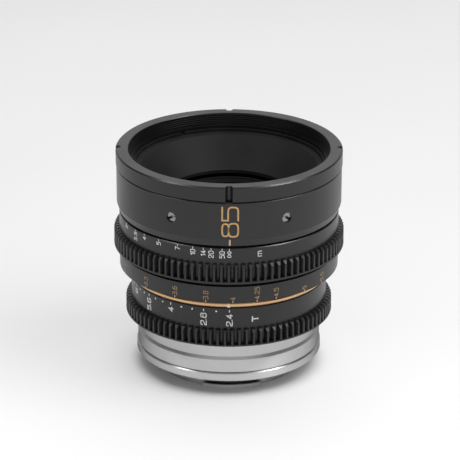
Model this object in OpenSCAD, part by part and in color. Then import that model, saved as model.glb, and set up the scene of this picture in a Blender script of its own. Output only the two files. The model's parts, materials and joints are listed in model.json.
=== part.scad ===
// Cinema prime lens, 85 mm class, with geared focus and iris rings.
// Sizes are in millimetres. The flange seat is at z = 0 and the front rim points to +Z.
// The front of the lens, where the index line is, faces -Y.

/* [Front] */

// Outside diameter of the front ring, the clamp-on accessory size
front_d = 80; // [80:0.5:90]
// Width of the rim between the outside of the front ring and the filter thread
rim_w = 4; // [3.5:0.25:6.5]
// Thread diameter of the screw-in filter seat
filter_d = front_d - 2 * rim_w;
// Height of the front ring
front_ring_h = 5.5; // [5:0.1:8]
// Width of each grip notch in the front ring
notch_w = 2.45; // [1.5:0.05:3.5]
// Radial depth of each grip notch
notch_depth = 1.9; // [1.4:0.05:2.5]
// Number of grip notches
notch_count = 4; // [2:1:8]

/* [Barrel] */

// Height of the fixed front barrel
barrel_h = 16.25; // [16.2:0.05:22]
// Height of the tapered foot of the front barrel
barrel_taper_h = 2.55; // [1:0.05:3.5]
// Number of set screws around the front barrel
set_screw_count = 6; // [3:1:8]
// Diameter of a set screw
set_screw_d = 3.6; // [2:0.1:3.8]
// Gap between the front barrel and the focus scale
barrel_gap = 0.9; // [0.5:0.05:1.4]

/* [Focus ring] */

// Height of the metric scale sleeve
focus_scale_h = 5.9; // [4.5:0.1:9]
// Height of the focus gear with its lip
focus_gear_h = 6.65; // [5:0.05:8]
// Height of the plain lip under the gear teeth
gear_lip_h = 0.7; // [0.6:0.05:1.6]
// Height of the feet scale zone under the gear
focus_low_h = 7.9; // [7.2:0.1:12]
// Turn of the focus ring from far to near in degrees
focus_sweep = 270; // [200:5:290]
// Travel of the optical block from far to near
focus_lift = 9.26; // [6:0.02:9.4]

/* [Iris ring] */

// Height of the aperture scale zone
iris_scale_h = 8.0; // [7.5:0.1:12]
// Height of the iris gear
iris_gear_h = 5.8; // [4.5:0.1:8]
// Height of the plain lip under the iris gear teeth
iris_lip_h = 0.5; // [0.3:0.05:1.2]
// Turn of the iris ring from open to closed in degrees
iris_sweep = 101; // [70:1:110]
// Number of iris blades
blade_count = 9; // [7:1:9]
// Radius of the iris opening when closed
stop_r = 1.95; // [1.5:0.05:6]

/* [Gears] */

// Module of the follow-focus gear teeth
gear_module = 0.8; // [0.4:0.1:0.8]

/* [Mount] */

// Diameter of the bayonet flange
flange_d = 66; // [65.6:0.1:70]
// Thickness of the bayonet flange
flange_t = 3.0; // [2.6:0.1:4]
// Thickness of the flange shim
shim_t = 0.15; // [0.1:0.01:0.4]
// Height of the mount spacer
spacer_h = 11.85; // [11.2:0.05:15]
// Diameter across the bayonet claws
claw_d = 54; // [53:0.1:54.6]
// Angle covered by one claw in degrees
claw_a = 45; // [30:1:56]
// Thickness of a claw
claw_t = 1.4; // [1:0.05:2]
// Depth of the bayonet below the flange seat
bayonet_h = 5.6; // [4.6:0.1:6.5]

/* [Fits] */

// Radial clearance of the running fits
fit = 0.05; // [0.02:0.01:0.08]
// Clearance of a cam roller or drive pin in its groove
pin_fit = 0.08; // [0.05:0.01:0.1]

/* [Hidden] */

$fn = 120;
eps = 0.01;
face_a = -90;

// Bevels of the turned edges
edge = 0.25;
rim_edge = 0.45;
barrel_edge = 0.45;
mount_edge = 0.3;
flange_edge = 0.3;

// Steps and walls of the outside, from the front ring inward
barrel_step = 0.2;
taper_step = 0.9;
ring_skin = 1.5;
focus_wall = 3.3;
undercut = 1.1;
undercut_h = 1.8;
iris_step = 4.1;
iris_skin = 1.2;
accent_rise = 0.8;
accent_bead = 1.25;
focus_tooth_rise = 1.9;
iris_tooth_rise = 2.0;
tooth_edge = 0.9;
lip_rise = 0.05;
thread_depth = 0.4;
joint_lip = 0.8;
hood_ledge = 1.6;
hood_lip = 0.6;

// Radii of the outside, from the front ring inward
front_r = front_d / 2;
barrel_r = front_r - barrel_step;
focus_r = barrel_r - taper_step;
focus_seat_r = focus_r - ring_skin;
focus_ri = focus_r - focus_wall;
iris_r = focus_r - iris_step;
iris_seat_r = iris_r - iris_skin;
accent_r = iris_r + accent_rise;
filter_r = filter_d / 2 - thread_depth;
joint_r = filter_r + joint_lip;
hood_r = filter_r - hood_ledge;
hood_seat_r = hood_r - hood_lip;

// Walls of the cam sleeve, the guide tube and the sliding block, from the focus ring inward
sleeve_wall = 3.55;
sleeve_skin = 0.6;
guide_wall = 2.4;
tail_wall = 1.2;
block_wall = 1.35;
sleeve_ri = focus_ri - sleeve_wall;
guide_r = sleeve_ri - fit;
guide_ri = guide_r - guide_wall;
tail_r = guide_ri + tail_wall;
block_r = guide_ri - fit;
block_ri = block_r - block_wall;

// Steps and walls of the mount
spacer_step = 0.4;
neck_wall = 1.2;
claw_reach = 1.7;
claw_turn = 3;
hub_wall = 2.3;
throat_step = 2.0;
neck_slope = 1.1;
shim_step = 0.5;
seat_gap = 0.4;
seat_relief = 0.4;
flange_r = flange_d / 2;
spacer_r = flange_r - spacer_step;
spacer_neck_r = tail_r + neck_wall;
claw_r = claw_d / 2;
hub_r = claw_r - claw_reach;
hub_ri = hub_r - hub_wall;
spacer_ri = hub_ri + throat_step;
seat_ri = claw_r + seat_gap;

// Gaps between the turning rings and the fixed ones
iris_gap = 0.1;
ring_gap = 0.2;
retainer_gap = 0.1;

// Heights from the flange seat forward
accent_h = 3.2;
tail_h = 6.0;
shim_z = flange_t;
spacer_z = shim_z + shim_t;
spacer_z1 = spacer_z + spacer_h;
spacer_floor_z = spacer_z1 - tail_h;
iris_z = spacer_z1 + iris_gap;
iris_gear_z1 = iris_z + iris_gear_h;
iris_z1 = iris_gear_z1 + iris_scale_h;
accent_z = iris_z1 + ring_gap;
accent_z1 = accent_z + accent_h;
focus_z = accent_z1 + ring_gap;
focus_gear_z = focus_z + focus_low_h;
focus_gear_z1 = focus_gear_z + focus_gear_h;
focus_z1 = focus_gear_z1 + focus_scale_h;
barrel_z = focus_z1 + barrel_gap;
barrel_z1 = barrel_z + barrel_h;
rim_z = barrel_z1 + front_ring_h;

// Heights of the seats inside the barrel, from its front end
joint_h = 1.2;
hood_rise = 0.2;
hood_drop = 1.1;
guide_drop = 5.6;
guide_flange_h = 4.0;
screw_drop = 1.9;
joint_z = barrel_z1 + joint_h;
hood_z1 = barrel_z1 + hood_rise;
hood_seat_z = barrel_z1 - hood_drop;
guide_z1 = barrel_z1 - guide_drop;
screw_z = guide_z1 - screw_drop;

// Hood: a ledge, then a cone whose small end clears the neck of the front cell
cone_lip = 0.4;
cone_drop = 0.7;
ledge_w = 1.8;
ledge_drop = 0.5;
cone_h = 11.35;
cone_t = 1.2;
cone_inset = 6.6;
neck_gap = 0.2;
hood_gap = 0.1;
spanner_w = 1.4;
spanner_h = 0.8;
cone_r1 = hood_seat_r - cone_lip;
cone_z1 = barrel_z1 - cone_drop;
ledge_r = cone_r1 - ledge_w;
ledge_z = cone_z1 - ledge_drop;
cone_r = block_ri - cone_inset;
cone_z = barrel_z1 - cone_h;
cone_under_z = cone_z - cone_t;
hood_foot_r = hood_seat_r - hood_gap;

// Focus cam: rollers on the block run in helical grooves of the sleeve
roller_r = 1.28;
roller_up = 5.0;
roller_tip_gap = 0.1;
stud_step = 0.3;
groove_slack = 0.02;
groove_end = 0.32;
slot_end = 0.4;
roller_count = 3;
roller_a = 30;
groove_half = roller_r + pin_fit + groove_slack;
groove_r1 = focus_ri - sleeve_skin;
roller_z = focus_z + roller_up;
roller_r1 = groove_r1 - roller_tip_gap;
sleeve_z = focus_z + retainer_gap;
sleeve_z1 = focus_z1 + edge;
groove_pad_a = atan2(roller_r + pin_fit + groove_end, sleeve_ri);
groove_steps = 48;

// Focus stop: a pin on the sleeve runs in an arc of the fixed retainer
retainer_t = 2.2;
retainer_step = 0.2;
stop_pin_r = 0.7;
stop_pin_h = 1.1;
stop_pin_seat = 3;
stop_gap = 0.155;
stop_pin_a = 60;
retainer_z = sleeve_z1 + retainer_gap;
retainer_r1 = focus_ri - retainer_step;
stop_pin_pos_r = (sleeve_ri + focus_ri) / 2;
stop_pad_a = atan2(stop_pin_r + stop_gap, stop_pin_pos_r);

// Iris drive: a pin on the iris ring turns the cam ring in the block
drive_up = 4.1;
drive_r = 0.9;
drive_gap = 0.185;
drive_skin = 0.6;
window_gap = 0.15;
window_end = 0.49;
drive_a = 40;
drive_z = iris_gear_z1 + drive_up;
drive_pad_a = atan2(drive_r + drive_gap, guide_ri);
drive_r1 = iris_r - drive_skin;
window_pad_a = atan2(drive_r + window_end, guide_ri);

// Iris blades, from the pivots inward
pivot_inset = 5.9;
blade_inset = 1.4;
blade_w = 7.5;
blade_t = 0.18;
blade_gap = 0.06;
blade_span_a = 112;
eye_r = 1.2;
tail_half = 0.9;
tail_len = 9.5;
tail_inset = 0.7;
pivot_pin_r = 0.5;
pivot_gap = 0.04;
pin_end = 0.15;
slot_gap = 0.06;
slot_steps = 24;
open_step = 0.4;
disk_step = 1.6;
blade_pitch = blade_t + blade_gap;
pivot_r = block_ri - pivot_inset;
blade_ro = pivot_r - blade_inset;
blade_ri = blade_ro - blade_w;
tail_r0 = pivot_r - tail_inset;
tail_a0 = -acos((tail_r0 * tail_r0 - pivot_r * pivot_r - tail_len * tail_len) / (2 * pivot_r * tail_len));
blade_sweep = 2 * asin((blade_ri - stop_r) / (2 * pivot_r));
blade_ratio = blade_sweep / iris_sweep;
slot_half = pivot_pin_r + slot_gap;
iris_open_r = blade_ri - open_step;

// Heights in the block, at the far end of the travel
cam_disk_up = 2.6;
cam_disk_t = 1.3;
skirt_wall = 1.25;
skirt_end = 1.05;
housing_t = 1.4;
pivot_end = 0.5;
block_lift = 0.6;
block_gap = 0.06;
cam_disk_z1 = drive_z + cam_disk_up;
cam_disk_ri = blade_ri + disk_step;
cam_r = block_ri - fit;
skirt_ri = cam_r - skirt_wall;
skirt_z = drive_z - focus_lift - skirt_end;
blade_z = cam_disk_z1 + blade_gap;
housing_z = blade_z + blade_count * blade_pitch;
pivot_hole_h = housing_t - pivot_end;
block_z = spacer_floor_z + block_lift;
block_z1 = hood_under(block_ri) - focus_lift - block_gap;

// Front group
cell_step_up = 4.5;
cell_tail_up = 1.6;
cell_lip_up = 4.0;
cell_drop = 1.25;
ring_wall = 0.9;
ring_step = 0.7;
clear_step = 0.8;
crown_step = 2.0;
tail_step = 4.0;
lip_step = 4.2;
cell_z1 = cone_under_z - cell_drop;
cell_neck_r = cone_r - neck_gap;
cell_neck_z = cone_under_z - focus_lift - block_gap;
cell_step_z = roller_z + cell_step_up;
ring_r = cell_neck_r - ring_wall;
front_glass_r = ring_r - ring_step;
front_clear_r = front_glass_r - clear_step;
crown_r = front_glass_r - crown_step;
cell_tail_r = crown_r + tail_step;
cell_lip_r = crown_r - lip_step;
cell_tail_z = housing_z + housing_t + cell_tail_up;
cell_lip_z = cell_tail_z + cell_lip_up;

// Front glass
ring_sink = 0.3;
ring_land = 0.4;
ring_h = 1.5;
ring_foot = 0.4;
front_glass_t = 8.5;
front_glass_curve = 70;
front_back_curve = 140;
front_back_dip = 1.0;
crown_air = 0.5;
crown_curve = 40;
flint_t = 4.5;
flint_curve = 24;
flint_dip = 3;
spacer_wall = 1.6;
ring_z1 = cell_z1 - ring_sink;
front_seat_z = ring_z1 - ring_h;
ring_z = front_seat_z + ring_foot;
front_glass_z1 = front_seat_z + sag(front_glass_curve, front_clear_r);
front_glass_z = front_glass_z1 - front_glass_t;
crown_z1 = front_glass_z - crown_air;
flint_z1 = cell_lip_z + flint_t;

// Rear group
rear_tail_gap = 1.5;
rear_tail_wall = 4.5;
rear_cell_gap = 0.6;
rear_flange_drop = 1.5;
rear_lip_t = 1.2;
rear_lip_w = 4;
rear_lip_gap = 1.0;
rear_flint_t = 5.0;
rear_flint_curve = 22;
rear_flint_dip = 3;
rear_crown_t = 7.5;
rear_crown_curve = 34;
rear_air = 1.1;
rear_elem_t = 7.0;
rear_front_curve = 60;
rear_back_curve = 80;
rear_ring_wall = 2;
rear_foot = 1.5;
rear_ring_rise = 0.4;
rear_tail_r = hub_ri - rear_tail_gap;
rear_glass_r = rear_tail_r - rear_tail_wall;
rear_ring_ri = rear_glass_r - rear_ring_wall;
rear_cell_r = skirt_ri - rear_cell_gap;
rear_flange_z1 = skirt_z - rear_flange_drop;
rear_lip_z1 = cam_disk_z1 - cam_disk_t - rear_lip_gap;
rear_lip_z = rear_lip_z1 - rear_lip_t;
rear_flint_z = rear_lip_z - rear_flint_t;
rear_crown_z = rear_flint_z - rear_crown_t;
rear_elem_z1 = rear_crown_z - rear_air;
rear_elem_z = rear_elem_z1 - rear_elem_t;
rear_elem_edge_z1 = rear_elem_z1 - sag(rear_front_curve, rear_ring_ri);
rear_cell_z = rear_elem_z - rear_foot;

// Mount screws, the locating hole and the rear baffle
screw_r = 1.0;
screw_gap = 0.2;
screw_head_r = 1.8;
screw_head_z = 0.2;
screw_head_h = 1.2;
head_gap = 0.1;
cross_w = 0.4;
cross_len = 2;
screw_count = 4;
screw_end = 1.0;
locating_r = 1.1;
locating_depth = 1.6;
locating_a = 20;
baffle_w = 4;
baffle_rise = 0.4;
baffle_edge = 0.8;
baffle_drop = 1.5;
screw_pos_r = (seat_ri + flange_r - flange_edge) / 2;
screw_z1 = spacer_floor_z - screw_end;
screw_seat_z = screw_head_z + screw_head_h;
baffle_ri = hub_ri - baffle_w;

// Set screws of the barrel
set_screw_sink = 0.6;
driver_w = 0.9;
driver_h = 1.1;
driver_a = -35;
driver_turn = 49;

// Height lost by a spherical surface between its vertex and radius r
function sag(curve, r) = curve - sqrt(curve * curve - r * r);

// Underside of the hood cone at radius r
function hood_under(r) = cone_under_z + (r - cone_r) * (hood_seat_z - cone_under_z) / (hood_foot_r - cone_r);

// Angle of a cam roller
function roller_angle(i) = roller_a + i * 360 / roller_count;

// Point at radius r and angle a
function polar(r, a) = [r * cos(a), r * sin(a)];

// Drive pin of a blade whose pivot is on the +X axis, after the ring has turned by a
function blade_pin(a) = [pivot_r, 0] + polar(tail_len, tail_a0 + blade_ratio * a);

// The same point seen from the turning cam ring
function cam_point(a) = let (p = blade_pin(a)) [p.x * cos(a) + p.y * sin(a), p.y * cos(a) - p.x * sin(a)];

// Unit normal of the cam slot's centre line
function cam_normal(a) = let (d = cam_point(a + 0.5) - cam_point(a - 0.5)) [-d.y, d.x] / norm(d);

// A turned part from its half section
module turned(section) {
    rotate_extrude()
        polygon(section);
}

// A plain tube between two heights
module tube(ro, ri, z0, z1) {
    turned([[ri, z0], [ro, z0], [ro, z1], [ri, z1]]);
}

// A sector of a tube, from angle a0 over the angle span
module sector(ro, ri, z0, z1, a0, span) {
    rotate([0, 0, a0])
        rotate_extrude(angle = span)
            translate([ri, z0])
                square([ro - ri, z1 - z0]);
}

// A round pin along the radius at angle a
module radial_pin(r, r0, r1, z, a) {
    rotate([0, 0, a])
        translate([r0, 0, z])
            rotate([0, 90, 0])
                cylinder(r = r, h = r1 - r0, $fn = 36);
}

// Outline of a spur gear with flanks drawn from three points each
module gear_outline(teeth, ri) {
    tip = gear_module * (teeth + 2) / 2;
    root = gear_module * (teeth - 2.5) / 2;
    mid = gear_module * teeth / 2;
    pitch_a = 360 / teeth;
    difference() {
        polygon([
            for (i = [0 : teeth - 1])
                let (a = i * pitch_a)
                    each [
                        polar(root, a - 0.36 * pitch_a),
                        polar(mid, a - 0.25 * pitch_a),
                        polar(tip, a - 0.14 * pitch_a),
                        polar(tip, a + 0.14 * pitch_a),
                        polar(mid, a + 0.25 * pitch_a),
                        polar(root, a + 0.36 * pitch_a)
                    ]
        ]);
        circle(r = ri);
    }
}

// Number of teeth that stand a little proud of a ring of radius r
function gear_teeth(r, rise) = ceil(2 * (r + rise) / gear_module - 0.001) - 2;

// A round-bottomed notch across the front ring
module grip_notch() {
    translate([front_r - notch_depth + notch_w / 2, 0, barrel_z1 - eps]) {
        cylinder(r = notch_w / 2, h = front_ring_h + 2 * eps, $fn = 36);
        translate([0, -notch_w / 2, 0])
            cube([notch_depth, notch_w, front_ring_h + 2 * eps]);
    }
}

module front_ring() {
    color([0.10, 0.10, 0.11])
        difference() {
            turned([
                [joint_r, barrel_z1], [front_r - edge, barrel_z1], [front_r, barrel_z1 + edge],
                [front_r, rim_z - rim_edge], [front_r - rim_edge, rim_z], [filter_r + edge, rim_z],
                [filter_r, rim_z - edge], [filter_r, joint_z], [joint_r, joint_z]
            ]);
            for (i = [0 : notch_count - 1])
                rotate([0, 0, face_a + i * 360 / notch_count])
                    grip_notch();
        }
}

module front_barrel() {
    color([0.11, 0.11, 0.12])
        difference() {
            turned([
                [joint_r, barrel_z], [focus_r, barrel_z], [barrel_r, barrel_z + barrel_taper_h],
                [barrel_r, barrel_z1 - barrel_edge], [barrel_r - barrel_edge, barrel_z1],
                [joint_r, barrel_z1], [joint_r, joint_z], [hood_r, joint_z], [hood_r, hood_seat_z],
                [hood_seat_r, hood_seat_z], [hood_seat_r, guide_z1], [joint_r, guide_z1]
            ]);
            for (i = [0 : set_screw_count - 1])
                radial_pin(set_screw_d / 2, joint_r - 1, barrel_r + 1, screw_z, set_screw_angle(i));
        }
}

// The set screws lie half a step to each side of the index line
function set_screw_angle(i) = face_a + (i + 0.5) * 360 / set_screw_count;

module barrel_set_screws() {
    color([0.62, 0.62, 0.63])
        for (i = [0 : set_screw_count - 1])
            difference() {
                radial_pin(set_screw_d / 2, joint_r, barrel_r - set_screw_sink, screw_z, set_screw_angle(i));
                rotate([0, 0, set_screw_angle(i)])
                    translate([barrel_r - set_screw_sink, 0, screw_z])
                        rotate([driver_a + i * driver_turn, 0, 0])
                            cube([2 * driver_h, set_screw_d + 1, driver_w], center = true);
            }
}

module hood_baffle() {
    color([0.07, 0.07, 0.07])
        difference() {
            turned([
                [hood_r, hood_seat_z], [hood_r, hood_z1], [cone_r1, hood_z1], [cone_r1, cone_z1],
                [ledge_r, ledge_z], [cone_r, cone_z], [cone_r, cone_under_z], [hood_foot_r, hood_seat_z]
            ]);
            for (a = [120, 300])
                rotate([0, 0, a])
                    translate([cone_r1 - 1, -spanner_w / 2, hood_z1 - spanner_h])
                        cube([hood_r - cone_r1 + 2, spanner_w, spanner_h + 1]);
        }
}

module guide_tube() {
    color([0.55, 0.50, 0.36])
        difference() {
            turned([
                [guide_ri, spacer_floor_z], [tail_r, spacer_floor_z], [tail_r, spacer_z1],
                [guide_r, spacer_z1], [guide_r, guide_z1 - guide_flange_h],
                [joint_r, guide_z1 - guide_flange_h], [joint_r, guide_z1], [guide_ri, guide_z1]
            ]);
            sector(guide_r + 1, guide_ri - 1, drive_z - drive_r - pin_fit, drive_z + drive_r + pin_fit,
                drive_a - drive_pad_a, iris_sweep + 2 * drive_pad_a);
            for (i = [0 : roller_count - 1])
                rotate([0, 0, roller_angle(i)])
                    translate([guide_ri - 1, -roller_r - pin_fit, roller_z - roller_r - slot_end])
                        cube([
                            guide_wall + 2,
                            2 * (roller_r + pin_fit),
                            focus_lift + 2 * (roller_r + slot_end)
                        ]);
        }
}

module focus_retainer() {
    color([0.30, 0.30, 0.31])
        difference() {
            tube(retainer_r1, guide_r, retainer_z, retainer_z + retainer_t);
            sector(stop_pin_pos_r + stop_pin_r + pin_fit, stop_pin_pos_r - stop_pin_r - pin_fit,
                retainer_z - 1, retainer_z + stop_pin_h,
                stop_pin_a - stop_pad_a, focus_sweep + 2 * stop_pad_a);
        }
}

module accent_ring() {
    color([0.80, 0.55, 0.30])
        rotate_extrude()
            union() {
                translate([guide_r, accent_z])
                    square([accent_r - accent_bead - guide_r, accent_h]);
                translate([accent_r - accent_bead, accent_z + accent_bead])
                    circle(r = accent_bead);
            }
}

// Places of the mount screws
function mount_screw_angle(i) = 45 + i * 360 / screw_count;

module mount_screw_holes(r, z0, z1) {
    for (i = [0 : screw_count - 1])
        rotate([0, 0, mount_screw_angle(i)])
            translate([screw_pos_r, 0, z0])
                cylinder(r = r, h = z1 - z0, $fn = 36);
}

module mount_spacer() {
    color([0.78, 0.78, 0.77])
        difference() {
            turned([
                [spacer_ri, spacer_z], [spacer_r - mount_edge, spacer_z], [spacer_r, spacer_z + mount_edge],
                [spacer_r, screw_z1], [spacer_neck_r, screw_z1 + neck_slope],
                [spacer_neck_r, spacer_z1 - mount_edge], [spacer_neck_r - mount_edge, spacer_z1],
                [tail_r, spacer_z1], [tail_r, spacer_floor_z], [spacer_ri, spacer_floor_z]
            ]);
            mount_screw_holes(screw_r, spacer_z - 1, screw_z1);
        }
}

module mount_shim() {
    color([0.72, 0.58, 0.32])
        difference() {
            tube(spacer_r - shim_step, spacer_ri, shim_z, spacer_z);
            mount_screw_holes(screw_r + screw_gap, shim_z - 1, spacer_z + 1);
        }
}

module bayonet_flange() {
    color([0.76, 0.76, 0.75])
        difference() {
            union() {
                turned([
                    [hub_ri, flange_t], [flange_r - mount_edge, flange_t], [flange_r, flange_t - mount_edge],
                    [flange_r, flange_edge], [flange_r - flange_edge, 0], [seat_ri, 0],
                    [seat_ri, seat_relief], [hub_r, seat_relief],
                    [hub_r, -bayonet_h], [hub_ri, -bayonet_h]
                ]);
                for (i = [0 : 2])
                    sector(claw_r, (hub_r + hub_ri) / 2, -bayonet_h, claw_t - bayonet_h,
                        face_a + claw_turn - claw_a / 2 + i * 120, claw_a);
            }
            mount_screw_holes(screw_r + screw_gap, -1, flange_t + 1);
            mount_screw_holes(screw_head_r + head_gap, -1, screw_seat_z);
            rotate([0, 0, locating_a])
                translate([screw_pos_r, 0, -1])
                    cylinder(r = locating_r, h = 1 + locating_depth, $fn = 36);
        }
}

module mount_screws() {
    color([0.60, 0.60, 0.61])
        difference() {
            union() {
                mount_screw_holes(screw_head_r, screw_head_z, screw_seat_z);
                mount_screw_holes(screw_r, screw_seat_z - head_gap, screw_z1);
            }
            for (i = [0 : screw_count - 1])
                rotate([0, 0, mount_screw_angle(i)])
                    for (a = [30, 120])
                        translate([screw_pos_r, 0, screw_head_z])
                            rotate([0, 0, a])
                                cube([cross_len, cross_w, screw_head_h], center = true);
        }
}

module rear_baffle() {
    color([0.06, 0.06, 0.06])
        turned([
            [baffle_ri, baffle_rise - bayonet_h], [hub_ri, baffle_rise - bayonet_h], [hub_ri, -baffle_drop],
            [hub_ri - baffle_edge, -baffle_drop], [baffle_ri, baffle_rise + baffle_edge - bayonet_h]
        ]);
}

module focus_ring() {
    color([0.11, 0.11, 0.12])
        turned([
            [focus_ri, focus_z], [focus_r - edge, focus_z], [focus_r, focus_z + edge],
            [focus_r, focus_gear_z - undercut_h], [focus_r - undercut, focus_gear_z - undercut_h + edge],
            [focus_r - undercut, focus_gear_z], [focus_seat_r, focus_gear_z], [focus_seat_r, focus_z1],
            [focus_ri, focus_z1]
        ]);
}

// A gear ring with its teeth bevelled at the top and a plain lip below
module gear_ring(teeth, ri, z0, z1, lip) {
    tip = gear_module * (teeth + 2) / 2;
    cut = 0.1;
    difference() {
        union() {
            translate([0, 0, z0])
                linear_extrude(height = z1 - z0)
                    gear_outline(teeth, ri);
            tube(tip + lip_rise, ri, z0, z0 + lip);
        }
        turned([
            [tip - tooth_edge, z1 + cut], [tip + 1, z1 + cut],
            [tip + 1, z1 - tooth_edge - 2 * cut], [tip + cut, z1 - tooth_edge - 2 * cut]
        ]);
    }
}

module focus_gear() {
    teeth = gear_teeth(focus_r, focus_tooth_rise);
    color([0.09, 0.09, 0.10])
        gear_ring(teeth, focus_seat_r, focus_gear_z, focus_gear_z1, gear_lip_h);
}

module focus_scale_sleeve() {
    color([0.11, 0.11, 0.12])
        turned([
            [focus_seat_r, focus_gear_z1], [focus_r, focus_gear_z1], [focus_r, focus_z1 - edge],
            [focus_r - edge, focus_z1], [focus_seat_r, focus_z1]
        ]);
}

// A helical groove that lifts a roller by focus_lift while the sleeve turns by focus_sweep
module cam_groove() {
    rise = focus_lift / focus_sweep;
    a0 = -groove_pad_a;
    step = (focus_sweep + 2 * groove_pad_a) / groove_steps;
    r0 = sleeve_ri - 1;
    polyhedron(
        points = [
            for (i = [0 : groove_steps])
                let (a = a0 + i * step, z = roller_z + rise * a)
                    each [
                        [r0 * cos(a), -r0 * sin(a), z - groove_half],
                        [groove_r1 * cos(a), -groove_r1 * sin(a), z - groove_half],
                        [groove_r1 * cos(a), -groove_r1 * sin(a), z + groove_half],
                        [r0 * cos(a), -r0 * sin(a), z + groove_half]
                    ]
        ],
        faces = [
            [0, 1, 2],
            [0, 2, 3],
            for (i = [0 : groove_steps - 1])
                let (b = 4 * i)
                    for (k = [0 : 3])
                        let (m = (k + 1) % 4)
                            each [[b + k, b + 4 + k, b + 4 + m], [b + k, b + 4 + m, b + m]],
            [4 * groove_steps + 2, 4 * groove_steps + 1, 4 * groove_steps],
            [4 * groove_steps + 3, 4 * groove_steps + 2, 4 * groove_steps]
        ]
    );
}

module cam_sleeve() {
    color([0.60, 0.53, 0.36])
        difference() {
            tube(focus_ri, sleeve_ri, sleeve_z, sleeve_z1);
            for (i = [0 : roller_count - 1])
                rotate([0, 0, roller_angle(i)])
                    cam_groove();
            rotate([0, 0, stop_pin_a])
                translate([stop_pin_pos_r, 0, sleeve_z1 - stop_pin_seat])
                    cylinder(r = stop_pin_r, h = stop_pin_seat + 1, $fn = 36);
        }
}

module focus_stop_pin() {
    color([0.65, 0.65, 0.66])
        rotate([0, 0, stop_pin_a])
            translate([stop_pin_pos_r, 0, sleeve_z1 - stop_pin_seat])
                cylinder(r = stop_pin_r, h = stop_pin_seat + stop_pin_h, $fn = 36);
}

module block_barrel() {
    color([0.20, 0.20, 0.21])
        difference() {
            tube(block_r, block_ri, block_z, block_z1);
            sector(block_r + 1, block_ri - 1, drive_z - focus_lift - drive_r - window_gap,
                drive_z + drive_r + window_gap, drive_a - window_pad_a, iris_sweep + 2 * window_pad_a);
            for (i = [0 : roller_count - 1])
                radial_pin(roller_r - stud_step, block_ri - 1, block_r + 1, roller_z, roller_angle(i));
        }
}

module cam_followers() {
    color([0.66, 0.66, 0.67])
        for (i = [0 : roller_count - 1]) {
            radial_pin(roller_r - stud_step, block_ri, block_r + stud_step, roller_z, roller_angle(i));
            radial_pin(roller_r, block_r, roller_r1, roller_z, roller_angle(i));
        }
}

module front_cell() {
    color([0.08, 0.08, 0.08])
        turned([
            [cell_lip_r, cell_tail_z], [cell_tail_r, cell_tail_z], [cell_tail_r, cell_step_z],
            [block_ri, cell_step_z], [block_ri, cell_neck_z], [cell_neck_r, cell_neck_z],
            [cell_neck_r, cell_z1], [ring_r, cell_z1], [ring_r, ring_z], [front_glass_r, ring_z],
            [front_glass_r, front_glass_z], [crown_r, front_glass_z], [crown_r, cell_lip_z],
            [cell_lip_r, cell_lip_z]
        ]);
}

// A glass disc between two heights with a convex front
module convex_front(r, z0, z1, curve) {
    intersection() {
        translate([0, 0, z0])
            cylinder(r = r, h = z1 - z0);
        translate([0, 0, z1 - curve])
            sphere(r = curve);
    }
}

// A glass disc between two heights with a convex back
module convex_back(r, z0, z1, curve) {
    intersection() {
        translate([0, 0, z0])
            cylinder(r = r, h = z1 - z0);
        translate([0, 0, z0 + curve])
            sphere(r = curve);
    }
}

module front_element() {
    color([0.30, 0.36, 0.42, 0.35])
        difference() {
            convex_front(front_glass_r, front_glass_z, front_glass_z1, front_glass_curve);
            translate([0, 0, front_glass_z + front_back_dip - front_back_curve])
                sphere(r = front_back_curve);
        }
}

module front_retaining_ring() {
    color([0.07, 0.07, 0.07])
        turned([
            [front_clear_r, front_seat_z], [front_glass_r, front_seat_z], [front_glass_r, ring_z],
            [ring_r, ring_z], [ring_r, ring_z1], [ring_r - ring_land, ring_z1], [front_clear_r, ring_z]
        ]);
}

module front_crown() {
    color([0.30, 0.36, 0.42, 0.35])
        convex_front(crown_r, flint_z1, crown_z1, crown_curve);
}

module front_flint() {
    color([0.30, 0.36, 0.42, 0.35])
        difference() {
            translate([0, 0, cell_lip_z])
                cylinder(r = crown_r, h = flint_z1 - cell_lip_z);
            translate([0, 0, cell_lip_z + flint_dip - flint_curve])
                sphere(r = flint_curve);
        }
}

module front_spacer() {
    ri = crown_r - spacer_wall;
    color([0.07, 0.07, 0.07])
        tube(crown_r, ri, crown_z1 - sag(crown_curve, ri), front_glass_z);
}

module iris_housing() {
    color([0.16, 0.16, 0.17])
        difference() {
            tube(block_ri, iris_open_r, housing_z, housing_z + housing_t);
            for (i = [0 : blade_count - 1])
                rotate([0, 0, i * 360 / blade_count])
                    translate([pivot_r, 0, housing_z - 1])
                        cylinder(r = pivot_pin_r + pivot_gap, h = 1 + pivot_hole_h, $fn = 36);
        }
}

module cam_ring_retainer() {
    color([0.55, 0.50, 0.36])
        tube(block_ri, skirt_ri - retainer_gap, rear_flange_z1, skirt_z - retainer_gap);
}

module rear_cell() {
    color([0.08, 0.08, 0.08])
        turned([
            [rear_glass_r, rear_cell_z], [rear_tail_r, rear_cell_z], [rear_tail_r, block_z],
            [block_ri, block_z], [block_ri, rear_flange_z1], [rear_cell_r, rear_flange_z1],
            [rear_cell_r, rear_lip_z1], [rear_glass_r - rear_lip_w, rear_lip_z1],
            [rear_glass_r - rear_lip_w, rear_lip_z],
            [rear_glass_r, rear_lip_z]
        ]);
}

module rear_flint() {
    color([0.30, 0.36, 0.42, 0.35])
        difference() {
            translate([0, 0, rear_flint_z])
                cylinder(r = rear_glass_r, h = rear_lip_z - rear_flint_z);
            translate([0, 0, rear_lip_z - rear_flint_dip + rear_flint_curve])
                sphere(r = rear_flint_curve);
        }
}

module rear_crown() {
    color([0.30, 0.36, 0.42, 0.35])
        convex_back(rear_glass_r, rear_crown_z, rear_flint_z, rear_crown_curve);
}

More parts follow.
